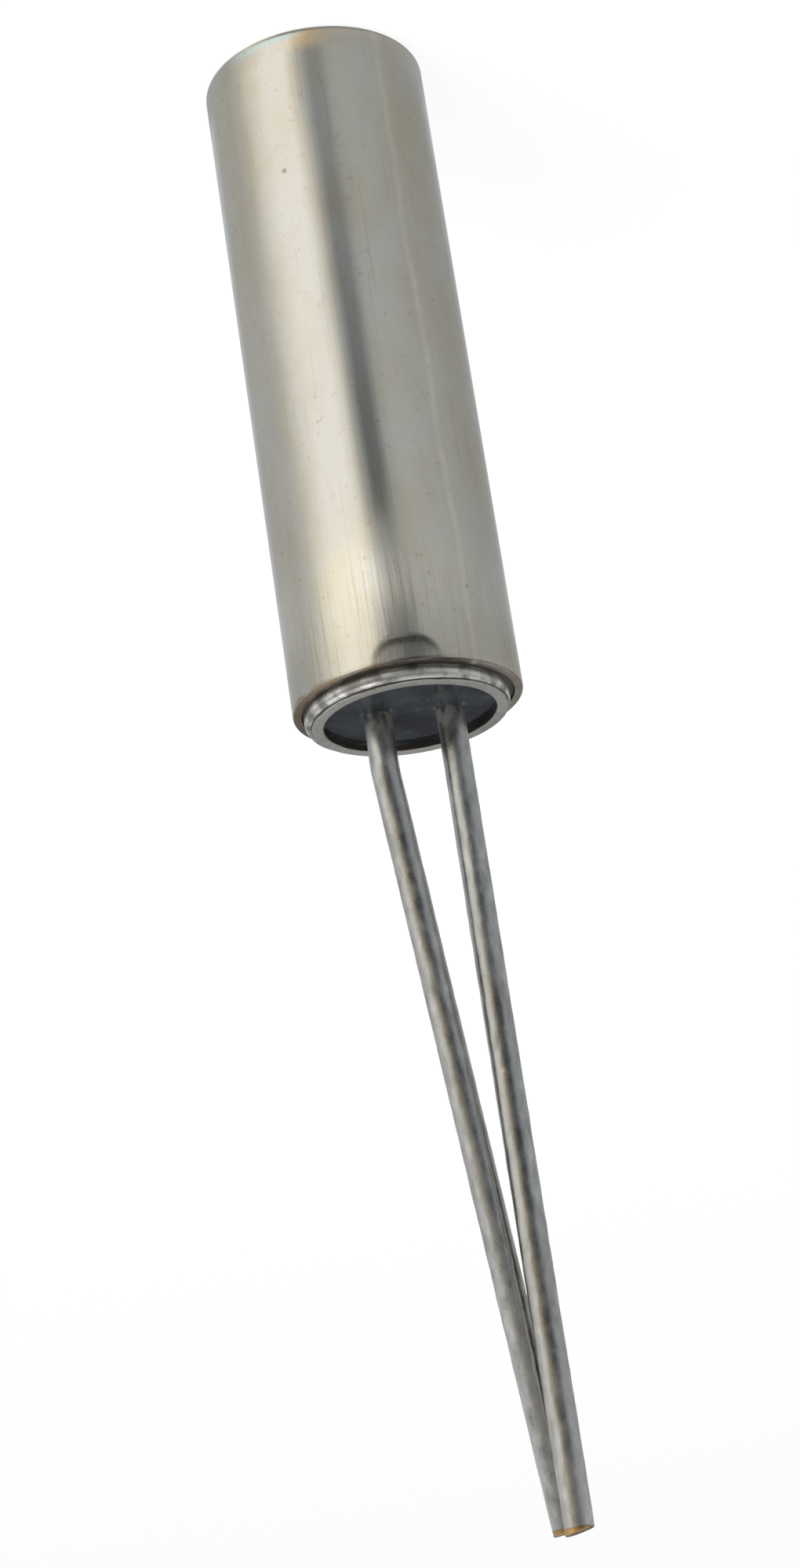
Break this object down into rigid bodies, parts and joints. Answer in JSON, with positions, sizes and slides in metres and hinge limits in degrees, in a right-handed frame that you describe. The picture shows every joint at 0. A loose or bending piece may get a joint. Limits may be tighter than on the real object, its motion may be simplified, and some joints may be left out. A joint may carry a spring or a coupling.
{
  "type": "crystal oscillator",
  "caption": "Cylinder-can quartz crystal with a glass-sealed header and wire leads, one straight and one bent, standing on its closed end.",
  "frame": {"origin": "middle of the outer face of the can's closed end", "axes": "+Z along the can's axis towards the leads, X along the line through the two leads, with the straight lead on the -X side"},
  "size_m": [0.003, 0.003, 0.0201],
  "materials": {
    "can": "nickel-plated nickel silver, satin",
    "header_ring": "tinned iron alloy, matt",
    "glass_seal": "dark sealing glass, glossy",
    "solder_seal": "soft solder, bright",
    "leads": "tinned wire, frosted",
    "quartz_blank": "clear, lapped",
    "electrodes": "evaporated silver, satin",
    "joints": "silver-filled adhesive, matt"
  },
  "bodies": {
    "root": {"can": "can", "header_ring": "header_ring", "glass_seal": "glass_seal", "solder_seal": "solder_seal", "straight_lead": "leads", "bent_lead": "leads", "quartz_blank": "quartz_blank", "front_electrode": "electrodes", "back_electrode": "electrodes", "straight_joint": "joints", "bent_joint": "joints"}
  },
  "joints": []
}
